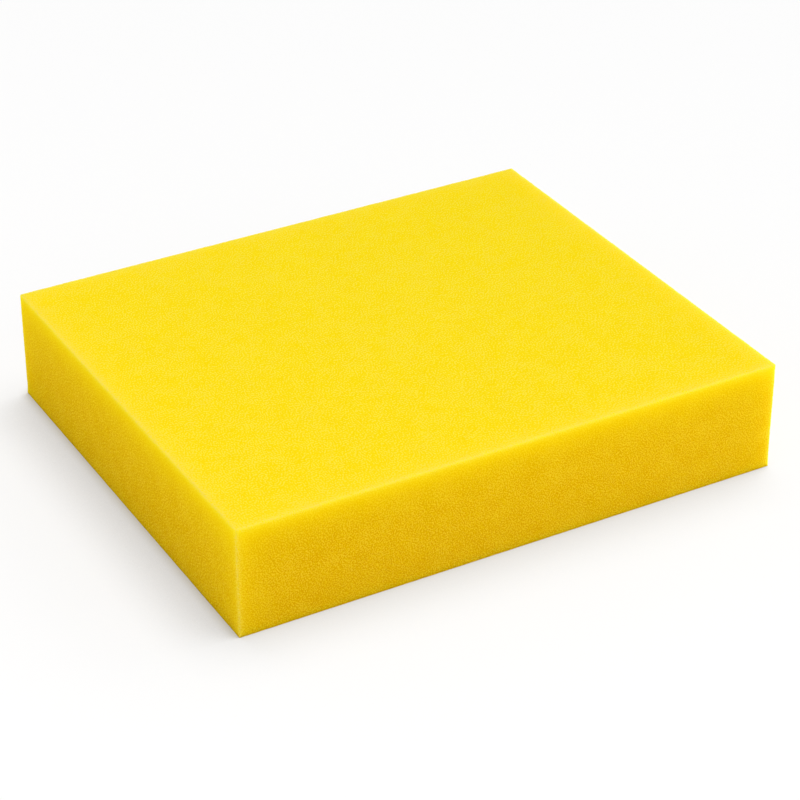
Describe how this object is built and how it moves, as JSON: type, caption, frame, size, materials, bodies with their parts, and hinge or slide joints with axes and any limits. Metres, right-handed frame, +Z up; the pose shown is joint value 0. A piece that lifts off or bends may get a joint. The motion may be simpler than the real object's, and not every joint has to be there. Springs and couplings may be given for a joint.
{
  "type": "foam sheet",
  "caption": "Thick rectangular slab of soft yellow open-cell foam, square-cut, for padding, packing, insulating or sponging.",
  "frame": {"origin": "centre of the underside, the face the sheet lies on", "axes": "+X along the length, +Y across the width, +Z up through the thickness"},
  "size_m": [0.25, 0.21, 0.05],
  "materials": {
    "foam": "open-cell foam, fully matte"
  },
  "bodies": {
    "root": {"foam_sheet": "foam"}
  },
  "joints": []
}
